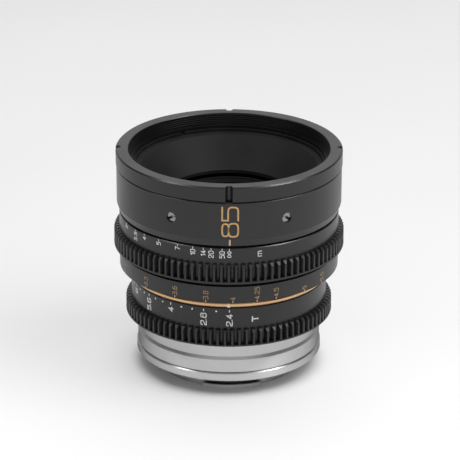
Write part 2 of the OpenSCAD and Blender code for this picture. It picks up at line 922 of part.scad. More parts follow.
module rear_spacer() {
    color([0.07, 0.07, 0.07])
        tube(rear_glass_r, rear_ring_ri, rear_elem_edge_z1,
            rear_crown_z + sag(rear_crown_curve, rear_ring_ri));
}

module rear_element() {
    color([0.30, 0.36, 0.42, 0.35])
        intersection() {
            convex_front(rear_glass_r, rear_elem_z, rear_elem_z1, rear_front_curve);
            convex_back(rear_glass_r, rear_elem_z, rear_elem_z1, rear_back_curve);
        }
}

module rear_retaining_ring() {
    color([0.07, 0.07, 0.07])
        tube(rear_glass_r, rear_ring_ri, rear_cell_z + rear_ring_rise,
            rear_elem_z + sag(rear_back_curve, rear_ring_ri));
}

module iris_ring() {
    color([0.11, 0.11, 0.12])
        difference() {
            turned([
                [sleeve_ri, iris_z], [iris_seat_r, iris_z], [iris_seat_r, iris_gear_z1],
                [iris_r, iris_gear_z1], [iris_r, iris_z1 - edge], [iris_r - edge, iris_z1],
                [sleeve_ri, iris_z1]
            ]);
            radial_pin(drive_r, sleeve_ri - 1, drive_r1, drive_z, drive_a);
        }
}

module iris_gear() {
    teeth = gear_teeth(iris_r, iris_tooth_rise);
    color([0.09, 0.09, 0.10])
        gear_ring(teeth, iris_seat_r, iris_z, iris_gear_z1, iris_lip_h);
}

module iris_drive_pin() {
    color([0.65, 0.65, 0.66])
        radial_pin(drive_r, skirt_ri + retainer_gap, drive_r1, drive_z, drive_a);
}

// One curved slot of the cam ring, the path of a blade's drive pin
module cam_slot() {
    pts = [for (i = [0 : slot_steps]) i * iris_sweep / slot_steps];
    polygon(concat(
        [for (a = pts) cam_point(a) + slot_half * cam_normal(a)],
        [for (i = [slot_steps : -1 : 0]) cam_point(pts[i]) - slot_half * cam_normal(pts[i])]
    ));
    for (a = [0, iris_sweep])
        translate(cam_point(a))
            circle(r = slot_half, $fn = 36);
}

module iris_cam_ring() {
    disk_z = cam_disk_z1 - cam_disk_t;
    color([0.45, 0.45, 0.46])
        difference() {
            turned([
                [skirt_ri, skirt_z], [cam_r, skirt_z], [cam_r, cam_disk_z1], [cam_disk_ri, cam_disk_z1],
                [cam_disk_ri, disk_z], [skirt_ri, disk_z]
            ]);
            translate([0, 0, disk_z - 1])
                linear_extrude(height = cam_disk_t + 2)
                    for (i = [0 : blade_count - 1])
                        rotate([0, 0, i * 360 / blade_count])
                            cam_slot();
            rotate([0, 0, drive_a])
                translate([skirt_ri - 1, -drive_r - fit, skirt_z - 1])
                    cube([skirt_wall + 2, 2 * (drive_r + fit), 1 + drive_z + drive_r + window_gap - skirt_z]);
        }
}

// One blade: an arc with a pivot pin on top and a drive pin below, in its own layer
module iris_blade(i) {
    z = blade_z + (i - 1) * blade_pitch + (blade_pitch - blade_t) / 2;
    pin = blade_pin(0);
    color([0.22, 0.22, 0.24])
        if (i <= blade_count)
            rotate([0, 0, (i - 1) * 360 / blade_count]) {
                translate([0, 0, z])
                    linear_extrude(height = blade_t)
                        union() {
                            intersection() {
                                difference() {
                                    circle(r = blade_ro);
                                    circle(r = blade_ri);
                                }
                                polygon([
                                    [0, 0],
                                    for (k = [0 : 4])
                                        polar(2 * blade_ro, -4 + k * (blade_span_a + 4) / 4)
                                ]);
                            }
                            translate([pivot_r, 0])
                                circle(r = eye_r);
                            translate([(blade_ri + blade_ro) / 2, -eye_r])
                                square([pivot_r - (blade_ri + blade_ro) / 2, 2 * eye_r]);
                            translate([pivot_r, 0])
                                rotate([0, 0, tail_a0])
                                    translate([0, -tail_half])
                                        square([tail_len, 2 * tail_half]);
                            translate(pin)
                                circle(r = tail_half, $fn = 36);
                        }
                translate([pivot_r, 0, z])
                    cylinder(r = pivot_pin_r, h = housing_z + pivot_hole_h - pin_end - z, $fn = 36);
                translate([pin.x, pin.y, cam_disk_z1 - cam_disk_t + pin_end])
                    cylinder(r = pivot_pin_r, h = z + blade_t - cam_disk_z1 + cam_disk_t - pin_end, $fn = 36);
            }
}

module iris_blade_1() { iris_blade(1); }
module iris_blade_2() { iris_blade(2); }
module iris_blade_3() { iris_blade(3); }
module iris_blade_4() { iris_blade(4); }
module iris_blade_5() { iris_blade(5); }
module iris_blade_6() { iris_blade(6); }
module iris_blade_7() { iris_blade(7); }
module iris_blade_8() { iris_blade(8); }
module iris_blade_9() { iris_blade(9); }

front_ring();
front_barrel();
barrel_set_screws();
hood_baffle();
guide_tube();
focus_retainer();
accent_ring();
mount_spacer();
mount_shim();
bayonet_flange();
mount_screws();
rear_baffle();
focus_ring();
focus_gear();
focus_scale_sleeve();
cam_sleeve();
focus_stop_pin();
block_barrel();
cam_followers();
front_cell();
front_element();
front_retaining_ring();
front_crown();
front_flint();
front_spacer();
iris_housing();
cam_ring_retainer();
rear_cell();
rear_flint();
rear_crown();
rear_spacer();
rear_element();
rear_retaining_ring();
iris_ring();
iris_gear();
iris_drive_pin();
iris_cam_ring();
iris_blade_1();
iris_blade_2();
iris_blade_3();
iris_blade_4();
iris_blade_5();
iris_blade_6();
iris_blade_7();
iris_blade_8();
iris_blade_9();
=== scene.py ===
import json
import math

import bpy
from mathutils import Matrix, Vector


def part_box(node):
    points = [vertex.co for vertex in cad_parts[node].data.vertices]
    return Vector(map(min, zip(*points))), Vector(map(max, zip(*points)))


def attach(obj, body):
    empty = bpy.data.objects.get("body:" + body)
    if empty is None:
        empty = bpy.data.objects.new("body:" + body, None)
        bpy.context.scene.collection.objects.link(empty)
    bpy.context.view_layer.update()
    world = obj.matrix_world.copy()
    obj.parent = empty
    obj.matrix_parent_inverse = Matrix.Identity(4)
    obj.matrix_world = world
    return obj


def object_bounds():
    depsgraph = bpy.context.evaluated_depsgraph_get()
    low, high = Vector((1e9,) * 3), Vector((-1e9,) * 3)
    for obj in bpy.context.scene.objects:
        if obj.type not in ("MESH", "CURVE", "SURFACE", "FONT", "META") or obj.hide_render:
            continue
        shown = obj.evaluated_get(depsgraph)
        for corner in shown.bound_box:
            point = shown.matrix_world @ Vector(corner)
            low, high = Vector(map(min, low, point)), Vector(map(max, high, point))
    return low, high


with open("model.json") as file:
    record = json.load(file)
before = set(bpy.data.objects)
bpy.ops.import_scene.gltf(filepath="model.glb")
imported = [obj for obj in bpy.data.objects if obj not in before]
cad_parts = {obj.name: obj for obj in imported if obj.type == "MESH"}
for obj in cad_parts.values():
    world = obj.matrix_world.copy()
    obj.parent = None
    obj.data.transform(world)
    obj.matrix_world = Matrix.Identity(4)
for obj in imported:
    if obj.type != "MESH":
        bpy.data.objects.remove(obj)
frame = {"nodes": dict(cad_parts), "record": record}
solid_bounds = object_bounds()

MM = 0.001
scene = bpy.context.scene
scene.view_settings.view_transform = "Standard"
scene.view_settings.look = "None"


# Materials

# Sockets of a Mix node for colours
MIX_SHARE = 0
MIX_FROM = 6
MIX_TO = 7
MIX_RESULT = 2

# Noise cells per metre
TURNING_SCALE = 5200.0
GRAIN_SCALE = 15000.0
PATCH_SCALE = 85.0
SPECKLE_SCALE = 2600.0
HAZE_SCALE = 120.0
DUST_SCALE = 1400.0

# The part of a noise that is spread over its whole effect
WEAR_WINDOW = (0.45, 0.95)
MARK_WINDOW = (0.3, 0.7)
TONE_WINDOW = (0.35, 0.65)
DUST_WINDOW = (0.72, 0.80)

TURNING_TONE = 0.4
ROUGH_SPREAD = 0.06
METAL_BUMP = 0.1 * MM
RIB_PITCH = 0.5 * MM
EDGE_TINT = (0.1, 0.1, 0.1, 1.0)
QUARTER_TURN = 0.25

# Painted shade on the side of the bayonet's hub above each claw, where the flange and the claw shade it
HUB_RADIUS = 26.2 * MM
HUB_TOP = 0.35 * MM
HUB_PAINTED_SHADE = (0.08, 0.08, 0.08, 1.0)
CLAW_COUNT = 3
CLAW_TURN = math.radians(87)
CLAW_WINDOW = (0.25, 0.5)

PAINT_BUMP = 0.02 * MM
PAINT_BUMP_STRENGTH = 0.5
PAINT_ROUGH = (0.45, 0.65)

GLASS_DARK = (0.90, 0.94, 0.93)
GLASS_LIGHT = (0.94, 0.95, 0.97)
GLASS_IOR = 1.52
GLASS_SPECULAR = 0.2
DUST_ROUGH = (0.0, 0.10)


def new_material(name):
    mat = bpy.data.materials.new(name)
    mat.use_nodes = True
    tree = mat.node_tree
    return mat, tree, tree.nodes["Principled BSDF"]


def put(tree, kind, inputs=None, **attributes):
    """A new node; an input takes a value or a socket."""
    node = tree.nodes.new(kind)
    for key, value in attributes.items():
        setattr(node, key, value)
    for key, value in (inputs or {}).items():
        socket = node.inputs[key]
        if isinstance(value, bpy.types.NodeSocket):
            tree.links.new(value, socket)
        else:
            socket.default_value = value
    return node


def math_node(tree, operation, *values):
    return put(tree, "ShaderNodeMath", dict(enumerate(values)), operation=operation).outputs[0]


def add(tree, a, b):
    return math_node(tree, "ADD", a, b)


def times(tree, a, b):
    return math_node(tree, "MULTIPLY", a, b)


def remap(tree, value, window, to=(0.0, 1.0)):
    """The value, with that window of it spread over another one."""
    node = put(
        tree,
        "ShaderNodeMapRange",
        {"Value": value, "From Min": window[0], "From Max": window[1], "To Min": to[0], "To Max": to[1]},
    )
    return node.outputs["Result"]


def noise(tree, vector, scale, detail=2.0):
    node = put(tree, "ShaderNodeTexNoise", {"Vector": vector, "Scale": scale, "Detail": detail})
    return node.outputs["Fac"]


def blend_colours(tree, factor, a, b):
    node = put(tree, "ShaderNodeMix", data_type="RGBA")
    tree.links.new(factor, node.inputs[MIX_SHARE])
    node.inputs[MIX_FROM].default_value = (*a, 1.0)
    node.inputs[MIX_TO].default_value = (*b, 1.0)
    return node.outputs[MIX_RESULT]


def grey(tone):
    return (tone, tone, tone)


def paint_hub_shade(tree, colour, split, radius):
    """The colour, with painted shade on the side of the hub over each claw."""
    inside = math_node(tree, "LESS_THAN", radius, HUB_RADIUS)
    below = math_node(tree, "LESS_THAN", split[2], HUB_TOP)
    turn = add(tree, math_node(tree, "ARCTAN2", split[1], split[0]), CLAW_TURN)
    wave = math_node(tree, "COSINE", times(tree, turn, float(CLAW_COUNT)))
    painted_shade_zone = times(tree, times(tree, inside, below), remap(tree, wave, CLAW_WINDOW))
    # Painted shade: this mix darkens the hub's colour where the flange and the claws shade it
    black = put(tree, "ShaderNodeMix", {MIX_SHARE: painted_shade_zone}, data_type="RGBA")
    tree.links.new(colour, black.inputs[MIX_FROM])
    black.inputs[MIX_TO].default_value = HUB_PAINTED_SHADE
    return black.outputs[MIX_RESULT]


def turned_metal(
    name, dark, light, rough, metal=0.0, specular=0.5, lines=0.1, grain=0.1, ribs=0.0, streak=0.0, hub=False
):
    """Turned metal: fine lines round the optical axis, a fine grain and faint handling marks."""
    mat, tree, bsdf = new_material(name)
    place = put(tree, "ShaderNodeTexCoord").outputs["Object"]
    split = put(tree, "ShaderNodeSeparateXYZ", {0: place}).outputs
    level = put(tree, "ShaderNodeCombineXYZ", {0: split[0], 1: split[1]}).outputs[0]
    radius = put(tree, "ShaderNodeVectorMath", {0: level}, operation="LENGTH").outputs["Value"]
    section = put(tree, "ShaderNodeCombineXYZ", {0: radius, 1: split[2]}).outputs[0]
    turning = noise(tree, section, TURNING_SCALE, detail=3.0)
    fine = noise(tree, place, GRAIN_SCALE)
    patches = noise(tree, place, PATCH_SCALE, detail=4.0)
    wear = add(tree, patches, times(tree, turning, TURNING_TONE))
    colour = blend_colours(tree, remap(tree, wear, WEAR_WINDOW), dark, light)
    # The bayonet's hub gets painted shade above its claws
    if hub:
        colour = paint_hub_shade(tree, colour, split, radius)
    tree.links.new(colour, bsdf.inputs["Base Color"])
    marks = add(tree, times(tree, turning, 0.5), times(tree, patches, 0.5))
    roughness = remap(tree, marks, MARK_WINDOW, (rough - ROUGH_SPREAD, rough + ROUGH_SPREAD))
    tree.links.new(roughness, bsdf.inputs["Roughness"])
    height = add(tree, times(tree, turning, lines), times(tree, fine, grain))
    if ribs:
        wave = math_node(tree, "SINE", times(tree, split[2], 2 * math.pi / RIB_PITCH))
        height = add(tree, height, times(tree, wave, ribs))
    bump = put(tree, "ShaderNodeBump", {"Strength": 1.0, "Distance": METAL_BUMP, "Height": height})
    tree.links.new(bump.outputs[0], bsdf.inputs["Normal"])
    bsdf.inputs["Metallic"].default_value = metal
    bsdf.inputs["Specular IOR Level"].default_value = specular
    if streak:
        bsdf.inputs["Specular Tint"].default_value = EDGE_TINT
        bsdf.inputs["Anisotropic"].default_value = streak
        bsdf.inputs["Anisotropic Rotation"].default_value = QUARTER_TURN
        tangent = put(tree, "ShaderNodeTangent", direction_type="RADIAL", axis="Z")
        tree.links.new(tangent.outputs[0], bsdf.inputs["Tangent"])
    return mat


def paint(name, dark, light):
    """Filled engraving: a matt enamel with small tone changes."""
    mat, tree, bsdf = new_material(name)
    place = put(tree, "ShaderNodeTexCoord").outputs["Object"]
    speckle = noise(tree, place, SPECKLE_SCALE, detail=4.0)
    colour = blend_colours(tree, remap(tree, speckle, TONE_WINDOW), dark, light)
    tree.links.new(colour, bsdf.inputs["Base Color"])
    tree.links.new(remap(tree, speckle, MARK_WINDOW, PAINT_ROUGH), bsdf.inputs["Roughness"])
    bump = put(
        tree, "ShaderNodeBump", {"Strength": PAINT_BUMP_STRENGTH, "Distance": PAINT_BUMP, "Height": speckle}
    )
    tree.links.new(bump.outputs[0], bsdf.inputs["Normal"])
    return mat


def coated_glass(name, tint):
    """Optical glass with a thin coating of that tint and a trace of dust."""
    mat, tree, bsdf = new_material(name)
    place = put(tree, "ShaderNodeTexCoord").outputs["Object"]
    haze = noise(tree, place, HAZE_SCALE)
    colour = blend_colours(tree, remap(tree, haze, TONE_WINDOW), GLASS_DARK, GLASS_LIGHT)
    tree.links.new(colour, bsdf.inputs["Base Color"])
    dust = noise(tree, place, DUST_SCALE, detail=1.0)
    tree.links.new(remap(tree, dust, DUST_WINDOW, DUST_ROUGH), bsdf.inputs["Roughness"])
    bsdf.inputs["Transmission Weight"].default_value = 1.0
    bsdf.inputs["IOR"].default_value = GLASS_IOR
    bsdf.inputs["Specular IOR Level"].default_value = GLASS_SPECULAR
    bsdf.inputs["Specular Tint"].default_value = (*tint, 1.0)
    return mat


SILVER = {
    "dark": (0.63, 0.63, 0.635),
    "light": (0.71, 0.71, 0.715),
    "rough": 0.40,
    "metal": 1.0,
    "lines": 0.10,
    "grain": 0.03,
    "streak": 0.85,
}
finish = {
    "black_anodised": turned_metal(
        "anodised_black",
        (0.0052, 0.0050, 0.0050),
        (0.0085, 0.0083, 0.0082),
        rough=0.36,
        specular=0.52,
        lines=0.05,
        grain=0.08,
    ),
    "gear_black": turned_metal(
        "gear_black", grey(0.016), grey(0.022), rough=0.40, specular=0.42, lines=0.04, grain=0.10
    ),
    "accent_orange": turned_metal(
        "anodised_orange",
        (0.58, 0.36, 0.18),
        (0.68, 0.44, 0.24),
        rough=0.16,
        metal=0.9,
        lines=0.03,
        grain=0.03,
    ),
    "silver_mount": turned_metal("satin_chrome", **SILVER),
    "baffle_black": turned_metal(
        "matt_baffle",
        grey(0.0045),
        grey(0.0150),
        rough=0.62,
        specular=0.26,
        lines=0.1,
        grain=0.25,
        ribs=0.05,
    ),
    "brass": turned_metal(
        "turned_brass",
        (0.50, 0.36, 0.14),
        (0.66, 0.50, 0.22),
        rough=0.28,
        metal=1.0,
        lines=0.12,
        grain=0.04,
        streak=0.4,
    ),
    "steel": turned_metal(
        "bright_steel",
        (0.24, 0.235, 0.23),
        (0.34, 0.335, 0.33),
        rough=0.3,
        metal=1.0,
        lines=0.06,
        grain=0.05,
    ),
    "glass": coated_glass("inner_coating", (0.62, 0.80, 0.52)),
    "blade_steel": turned_metal(
        "blade_black",
        (0.05, 0.05, 0.052),
        (0.08, 0.08, 0.083),
        rough=0.42,
        metal=0.6,
        lines=0.05,
        grain=0.12,
    ),
}
own_finish = {
    "front_element": coated_glass("front_coating", (0.58, 0.55, 0.82)),
    "front_retaining_ring": turned_metal(
        "deep_baffle", grey(0.002), grey(0.004), rough=0.6, specular=0.12, lines=0.1, grain=0.2
    ),
    "mount_shim": turned_metal(
        "oiled_shim", (0.02, 0.018, 0.015), (0.04, 0.036, 0.03), rough=0.5, metal=0.6, lines=0.1
    ),
    # Its hub carries painted shade above the claws
    "bayonet_flange": turned_metal("bayonet_chrome", hub=True, **SILVER),
}
white_paint = paint("white_engraving", grey(0.74), grey(0.92))
bright_paint = paint("bright_engraving", (0.90, 0.86, 0.81), (0.95, 0.92, 0.88))
orange_paint = paint("orange_engraving", (0.58, 0.33, 0.13), (0.72, 0.44, 0.19))
faded_paint = paint("faded_engraving", (0.32, 0.20, 0.09), (0.42, 0.27, 0.13))
pale_paint = paint("pale_engraving", (0.56, 0.41, 0.31), (0.68, 0.52, 0.41))

slot_of = {part["node"]: part["material_slot"] for part in frame["record"]["subparts"]}
for node_name, obj in frame["nodes"].items():
    mat = own_finish.get(node_name) or finish[slot_of[node_name]]
    if not obj.material_slots:
        obj.data.materials.append(mat)
    for entry in obj.material_slots:
        entry.material = mat


# Engraved scales: a stroke alphabet laid on the rings

# Each glyph is its width and its strokes. A point is x, y and the corner radius there, in cap heights.
# A stroke that ends with None is closed.
WIDE = 0.60
ROUND = 0.22
TIGHT = 0.16
EIGHT_ROUND = 0.18
EIGHT_INSET = 0.02
LOW_CAP = 0.7
M_HALF = 0.43
GLYPHS = {
    "0": (
        WIDE,
        [[(0, 0, ROUND), (WIDE, 0, ROUND), (WIDE, 1, ROUND), (0, 1, ROUND), None]],
    ),
    "1": (0.34, [[(0.02, 0.76, 0), (0.3, 1, 0), (0.3, 0, 0)]]),
    "2": (
        WIDE,
        [
            [
                (0, 0.72, 0), (0, 1, ROUND), (WIDE, 1, ROUND), (WIDE, 0.56, TIGHT),
                (0, 0.2, 0.1), (0, 0, 0), (WIDE, 0, 0),
            ]
        ],
    ),
    "3": (
        WIDE,
        [
            [(0, 1, 0), (WIDE, 1, ROUND), (WIDE, 0.53, TIGHT), (0.16, 0.53, 0)],
            [(0.3, 0.53, 0), (WIDE, 0.53, TIGHT), (WIDE, 0, ROUND), (0, 0, 0)],
        ],
    ),
    "4": (WIDE, [[(WIDE, 0.26, 0), (0, 0.26, 0), (0.4, 1, 0), (0.4, 0, 0)]]),
    "5": (
        WIDE,
        [[(WIDE, 1, 0), (0, 1, 0), (0, 0.63, 0), (WIDE, 0.63, ROUND), (WIDE, 0, ROUND), (0, 0, 0)]],
    ),
    "6": (
        WIDE,
        [[(WIDE, 1, 0), (0, 1, ROUND), (0, 0, ROUND), (WIDE, 0, ROUND), (WIDE, 0.56, ROUND), (0, 0.56, 0)]],
    ),
    "7": (WIDE, [[(0, 1, 0), (WIDE, 1, 0), (0.2, 0, 0)]]),
    "8": (
        WIDE,
        [
            [(0, 0, ROUND), (WIDE, 0, ROUND), (WIDE, 0.6, ROUND), (0, 0.6, ROUND), None],
            [
                (EIGHT_INSET, 0.6, EIGHT_ROUND),
                (WIDE - EIGHT_INSET, 0.6, EIGHT_ROUND),
                (WIDE - EIGHT_INSET, 1, EIGHT_ROUND),
                (EIGHT_INSET, 1, EIGHT_ROUND),
                None,
            ],
        ],
    ),
    "9": (
        WIDE,
        [[(0, 0, 0), (WIDE, 0, ROUND), (WIDE, 1, ROUND), (0, 1, ROUND), (0, 0.44, ROUND), (WIDE, 0.44, 0)]],
    ),
    ".": (0.1, [[(0.05, 0.02, 0), (0.05, 0.06, 0)]]),
    "m": (
        2 * M_HALF,
        [
            [(0, 0, 0), (0, LOW_CAP, 0)],
            [(0, LOW_CAP, 0), (M_HALF, LOW_CAP, TIGHT), (M_HALF, 0, 0)],
            [(M_HALF, LOW_CAP, 0), (2 * M_HALF, LOW_CAP, TIGHT), (2 * M_HALF, 0, 0)],
        ],
    ),
    "f": (0.4, [[(0.42, 1, 0), (0.16, 1, 0.14), (0.16, 0, 0)], [(0, 0.68, 0), (0.38, 0.68, 0)]]),
    "t": (0.4, [[(0.16, 0.95, 0), (0.16, 0, 0.14), (0.4, 0, 0)], [(0, 0.68, 0), (0.38, 0.68, 0)]]),
    "T": (0.66, [[(0, 1, 0), (0.66, 1, 0)], [(0.33, 1, 0), (0.33, 0, 0)]]),
}
LOOP_POINTS = 36
LOOP_HALF = 0.75
LOOP_RISE = 0.42
LOOP = [
    (LOOP_HALF + LOOP_HALF * math.sin(a), 0.5 + LOOP_RISE * math.sin(2 * a), 0)
    for a in (2 * math.pi * i / LOOP_POINTS for i in range(LOOP_POINTS))
]
GLYPHS["inf"] = (2 * LOOP_HALF, [[*LOOP, None]])

# Millimetres: the paint's top and foot, from the metal's surface, and a stroke's longest step
LIFT = 0.02
SINK = -0.06
STROKE_STEP = 0.8

CORNER_STEPS = 5
LEAST_MITRE_COSINE = 0.6
CAP_TURNS = (0.5, 1.0, 1.4)
DOT_SIDES = 16


def rounded(points, closed):
    """The stroke's centre line with its corners turned into arcs."""
    out = []
    count = len(points)
    for i, (x, y, r) in enumerate(points):
        here = Vector((x, y))
        if r <= 0 or (not closed and i in (0, count - 1)):
            out.append(here)
            continue
        before = Vector(points[i - 1][:2]) - here
        after = Vector(points[(i + 1) % count][:2]) - here
        reach = min(r, 0.5 * before.length, 0.5 * after.length)
        start = here + before.normalized() * reach
        end = here + after.normalized() * reach
        for k in range(CORNER_STEPS + 1):
            t = k / CORNER_STEPS
            out.append(start * (1 - t) ** 2 + here * (2 * t * (1 - t)) + end * t**2)
    return out


def add_piece(name, body, verts, faces, mat):
    """A mesh of that finish, riding on the body."""
    mesh = bpy.data.meshes.new(name)
    mesh.from_pydata(verts, [], faces)
    mesh.validate()
    mesh.update()
    mesh.materials.append(mat)
    obj = bpy.data.objects.new(name, mesh)
    scene.collection.objects.link(obj)
    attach(obj, body)
    return obj


class Engraving:
    """Strokes on a round surface, gathered into one mesh."""

    def __init__(self, radius_at):
        self.radius_at = radius_at
        self.verts = []
        self.faces = []

    def place(self, angle, height, along, up, lift):
        """Text runs up the lens: along is towards +Z and up is to the left."""
        z = height + along
        radius = self.radius_at(z) + lift
        turn = math.radians(angle) - up / self.radius_at(z)
        return (radius * math.sin(turn) * MM, -radius * math.cos(turn) * MM, z * MM)

    def stroke(self, line, width, angle, height, closed=False):
        """A ribbon of that width along a line of (along, up) points in millimetres."""
        points = []
        for i, p in enumerate(line):
            points.append(p)
            if i + 1 < len(line) or closed:
                q = line[(i + 1) % len(line)]
                steps = int((q - p).length / STROKE_STEP)
                points += [p.lerp(q, k / (steps + 1)) for k in range(1, steps + 1)]
        half = width / 2
        stations = []
        count = len(points)
        for i, p in enumerate(points):
            before = points[i - 1] if (i or closed) else None
            after = points[(i + 1) % count] if (i + 1 < count or closed) else None
            arriving = (p - before).normalized() if before is not None else None
            leaving = (after - p).normalized() if after is not None else None
            arriving, leaving = arriving or leaving, leaving or arriving
            mid = (arriving + leaving).normalized()
            side = Vector((-mid.y, mid.x)) * half / max(LEAST_MITRE_COSINE, mid.dot(leaving))
            stations.append((p, side))
        if not closed:
            ends = []
            for (p, side), sign in ((stations[0], -1), (stations[-1], 1)):
                ahead = Vector((side.y, -side.x)) * sign
                ends.append([(p + ahead * math.sin(a), side * math.cos(a)) for a in CAP_TURNS])
            stations = ends[0][::-1] + stations + ends[1]
        first = len(self.verts)
        for p, side in stations:
            for q, lift in ((p + side, LIFT), (p - side, LIFT), (p - side, SINK), (p + side, SINK)):
                self.verts.append(self.place(angle, height, q.x, q.y, lift))
        total = len(stations)
        for i in range(total if closed else total - 1):
            a = first + 4 * i
            b = first + 4 * ((i + 1) % total)
            for k in range(4):
                m = (k + 1) % 4
                self.faces.append((a + m, b + m, b + k, a + k))
        if not closed:
            self.faces.append((first, first + 1, first + 2, first + 3))
            last = first + 4 * (total - 1)
            self.faces.append((last + 3, last + 2, last + 1, last))

    def text(self, glyphs, cap, width, angle, top=None, bottom=None, gap=0.30, squeeze=1.0):
        """A run of glyphs whose upper or lower end is given, centred on the angle."""
        length = sum(GLYPHS[g][0] for g in glyphs) * cap * squeeze + (len(glyphs) - 1) * gap * cap
        at = bottom + width / 2 if bottom is not None else top - width / 2 - length
        for g in glyphs:
            wide, strokes = GLYPHS[g]
            middle = LOW_CAP / 2 if g == "m" else 0.5
            for points in strokes:
                closed = points[-1] is None
                line = rounded([p for p in points if p is not None], closed)
                line = [Vector((p.x * cap * squeeze, (p.y - middle) * cap)) for p in line]
                self.stroke(line, width, angle, at, closed)
            at += wide * cap * squeeze + gap * cap

    def tick(self, angle, low, high, width):
        self.stroke([Vector((0, 0)), Vector((high - low, 0))], width, angle, low)

    def dot(self, angle, height, size):
        first = len(self.verts)
        turns = [2 * math.pi * i / DOT_SIDES for i in range(DOT_SIDES)]
        for lift in (LIFT, SINK):
            for a in turns:
                along = math.cos(a) * size / 2
                up = math.sin(a) * size / 2
                self.verts.append(self.place(angle, height, along, up, lift))
        top = [first + i for i in range(DOT_SIDES)]
        low = [first + DOT_SIDES + i for i in range(DOT_SIDES)]
        self.faces += [tuple(top), tuple(low[::-1])]
        self.faces += [(top[i - 1], low[i - 1], low[i], top[i]) for i in range(DOT_SIDES)]

    def build(self, name, body, mat):
        add_piece(name, body, self.verts, self.faces, mat)


def top_of(node):
    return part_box(node)[1][2] / MM


def low_of(node):
    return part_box(node)[0][2] / MM


def outside(node):
    low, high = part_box(node)
    return (high[0] - low[0]) / 2 / MM


# Scales: sizes and heights in millimetres, angles in degrees from the front index

scale_radius = outside("focus_scale_sleeve")
focus_radius = outside("focus_ring")
barrel_radius = outside("front_barrel")
iris_radius = outside("iris_ring")
accent_radius = outside("accent_ring")
scale_top = top_of("focus_scale_sleeve")
focus_low = low_of("focus_ring")
iris_top = top_of("iris_ring")
barrel_low = low_of("front_barrel")

DIGIT_CAP = 1.6
INFINITY_CAP = 1.4
DIGIT_STROKE = 0.26
DIGIT_GAP = 0.28
TICK_STROKE = 0.28


def chars(label):
    return [label] if label == "inf" else list(label)


def distance_label(scale, label, angle, **end):
    cap = INFINITY_CAP if label == "inf" else DIGIT_CAP
    scale.text(chars(label), cap, DIGIT_STROKE, angle, gap=DIGIT_GAP, **end)


METRES = "50 20 14 10 7 5 4 3.5 3 2.5 2.2 2 1.8 1.6 1.5 1.4 1.3 1.2 1.1 1 .96".split()
METRE_ZERO = 0.25
METRE_TICK_LOW = 0.75
METRE_TICK_HIGH = 0.3
METRE_TEXT_DROP = 1.05
METRE_UNIT = {"cap": 1.8, "width": 0.25, "angle": 15.9, "squeeze": 1.2}
METRE_UNIT_DROP = 1.4
# The turn in degrees is the rate over the distance less the offset, in metres
FOCUS_RATE = 183.5
FOCUS_OFFSET = 0.273


def distance_angle(distance):
    """Turn of the focus ring from infinity to that distance in metres."""
    return FOCUS_RATE / (distance - FOCUS_OFFSET)


metres = Engraving(lambda z: scale_radius)
for label, angle in [("inf", 0.0)] + [(text, -distance_angle(float(text))) for text in METRES]:
    angle += METRE_ZERO
    metres.tick(angle, scale_top - METRE_TICK_LOW, scale_top - METRE_TICK_HIGH, TICK_STROKE)
    distance_label(metres, label, angle, top=scale_top - METRE_TEXT_DROP)
metres.text(["m"], top=scale_top - METRE_UNIT_DROP, **METRE_UNIT)
metres.build("scale_metres", "focus", white_paint)

# The marks that show in the photo have their turns from it, the rest are carried on round the back
BACK_MARK = 195.0
FEET = [
    ("3.1", -70.0), ("3.3", -48.0), ("3.6", -28.7), ("3.8", -11.8), ("4", 2.1), ("4.25", 14.6),
    ("4.5", 25.0), ("5", 42.7), ("5.5", 57.0), ("6", 75.0), ("7", 95.0), ("8", 109.0), ("10", 128.0),
    ("12", 141.0), ("15", 152.5), ("20", 163.5), ("30", 174.0), ("50", 183.0), ("inf", BACK_MARK),
]
FEET_TICK_LOW = 0.25
FEET_TICK_HIGH = 0.8
FEET_TEXT_RISE = 1.1
FEET_UNIT = {"cap": 1.7, "width": 0.28, "angle": BACK_MARK + 14.0}
FEET_UNIT_RISE = 1.9

feet = Engraving(lambda z: focus_radius)
feet_ticks = Engraving(lambda z: focus_radius)
for label, angle in FEET:
    feet_ticks.tick(angle, focus_low + FEET_TICK_LOW, focus_low + FEET_TICK_HIGH, TICK_STROKE)
    distance_label(feet, label, angle, bottom=focus_low + FEET_TEXT_RISE)
feet.text(["f", "t"], bottom=focus_low + FEET_UNIT_RISE, **FEET_UNIT)
feet.build("scale_feet", "focus", faded_paint)
feet_ticks.build("scale_feet_ticks", "focus", pale_paint)

STOPS = [
    ("2.4", 0.0), ("2.8", -15.0), ("4", -36.0), ("5.6", -54.0), ("8", -70.0), ("11", -86.0), ("16", -101.0),
]
HALF_STOPS = (-7.6, -21.9, -28.7, -42.0, -48.0, -59.2, -64.4, -75.3, -80.6, -91.0, -96.0)
STOP_ZERO = 0.45
STOP_TICK_LOW = 1.5
STOP_TICK_HIGH = 0.8
STOP_TICK_STROKE = 0.34
STOP_TEXT_DROP = 2.25
STOP_TEXT = {"cap": 1.95, "width": 0.36, "gap": 0.26, "squeeze": 1.3}
STOP_DOT_DROP = 1.35
STOP_DOT = 0.68
STOP_UNIT = {"cap": 2.05, "width": 0.46, "angle": 15.4, "squeeze": 1.3}
STOP_UNIT_DROP = 3.4

stops = Engraving(lambda z: iris_radius)
for label, angle in STOPS:
    angle += STOP_ZERO
    stops.tick(angle, iris_top - STOP_TICK_LOW, iris_top - STOP_TICK_HIGH, STOP_TICK_STROKE)
    stops.text(chars(label), angle=angle, top=iris_top - STOP_TEXT_DROP, **STOP_TEXT)
for angle in HALF_STOPS:
    stops.dot(STOP_ZERO + angle, iris_top - STOP_DOT_DROP, STOP_DOT)
stops.text(["T"], top=iris_top - STOP_UNIT_DROP, **STOP_UNIT)
stops.build("scale_stops", "iris", white_paint)

